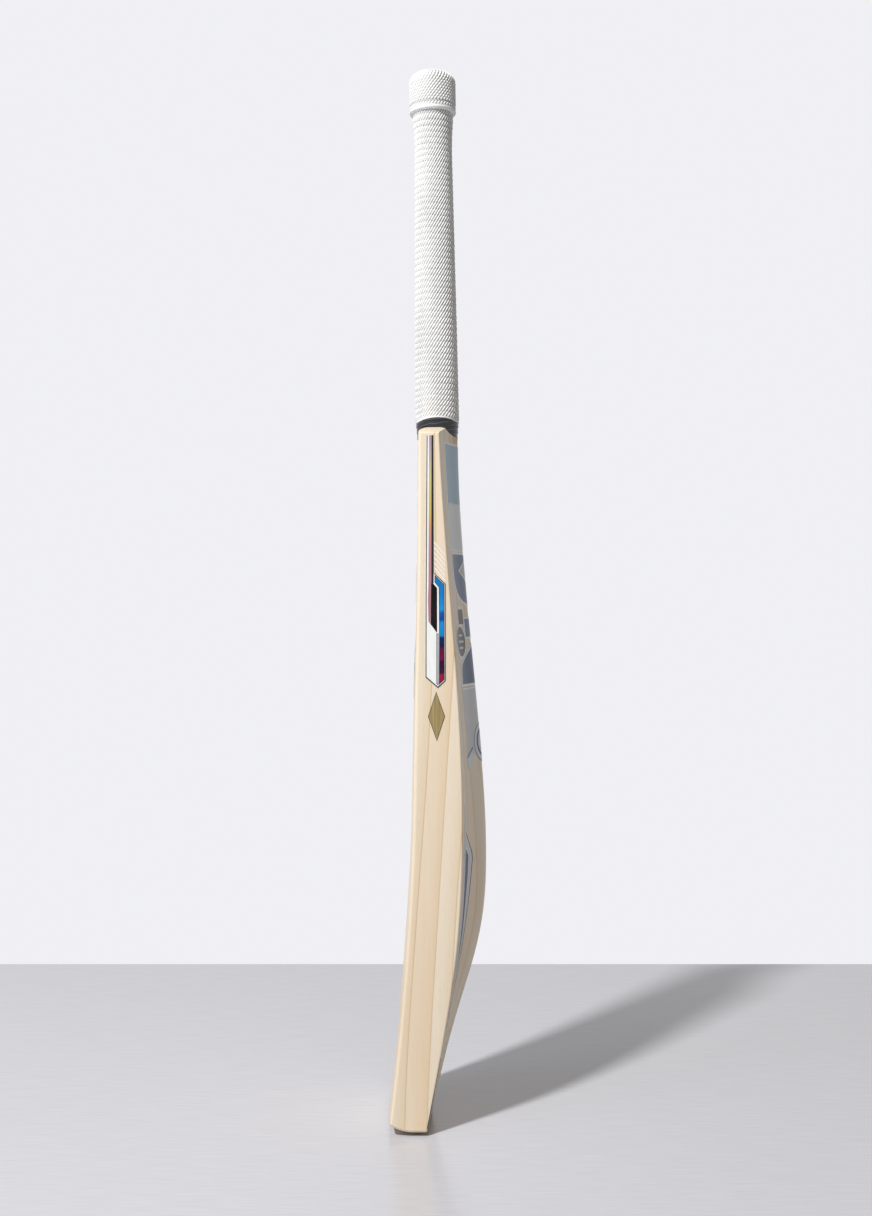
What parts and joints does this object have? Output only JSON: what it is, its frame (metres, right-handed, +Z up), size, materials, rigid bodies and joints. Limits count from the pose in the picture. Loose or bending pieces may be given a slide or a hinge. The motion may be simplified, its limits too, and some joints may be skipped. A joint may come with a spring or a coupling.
{
  "type": "cricket bat",
  "caption": "Short-handle cricket bat: bowed willow blade with a raised spine, spliced cane handle with rubber springs, ribbed rubber grip with a turned-back collar.",
  "frame": {"origin": "centre of the small flat on the toe that the bat stands on, in the bat's middle plane", "axes": "+Z up, parallel to the handle's axis; -Y out of the striking face, +Y out of the spine; -X and +X out of the two edges"},
  "size_m": [0.1084, 0.0825, 0.857],
  "materials": {
    "willow": "sanded and waxed",
    "cane": "glued and turned",
    "spring_rubber": "sheet rubber",
    "twine": "waxed linen twine",
    "grip_rubber": "moulded, ribbed",
    "throat_tape": "glossy tape",
    "toe_guard": "glued guard",
    "label_grey": "printed film",
    "label_blue_grey": "printed film",
    "label_slate": "printed film",
    "label_navy": "printed film",
    "label_silver": "printed film",
    "label_blue": "printed film",
    "label_gold": "printed film"
  },
  "bodies": {
    "root": {"willow_blade": "willow", "cane_slab_1_left": "cane", "cane_slab_1_centre": "cane", "cane_slab_1_right": "cane", "cane_slab_2_left": "cane", "cane_slab_2_centre": "cane", "cane_slab_2_right": "cane", "cane_slab_3_left": "cane", "cane_slab_3_centre": "cane", "cane_slab_3_right": "cane", "cane_slab_4_left": "cane", "cane_slab_4_centre": "cane", "cane_slab_4_right": "cane", "rubber_spring_1": "spring_rubber", "rubber_spring_2": "spring_rubber", "rubber_spring_3": "spring_rubber", "twine_whipping_1": "twine", "twine_whipping_2": "twine", "twine_whipping_3": "twine", "twine_whipping_4": "twine", "twine_whipping_5": "twine", "rubber_grip": "grip_rubber", "grip_collar": "grip_rubber", "throat_tape": "throat_tape", "toe_guard": "toe_guard", "face_label": "label_grey", "back_upper_label": "label_blue_grey", "back_shield_label": "label_slate", "back_block_label": "label_slate", "back_peak_label": "label_navy", "back_badge_left": "label_slate", "back_badge_right": "label_slate", "back_tail_label": "label_silver", "back_roundel": "label_navy", "back_flash_left": "label_silver", "back_flash_right": "label_silver", "edge_label_left": "label_blue", "edge_label_right": "label_blue", "edge_emblem_left": "label_gold", "edge_emblem_right": "label_gold"}
  },
  "joints": []
}
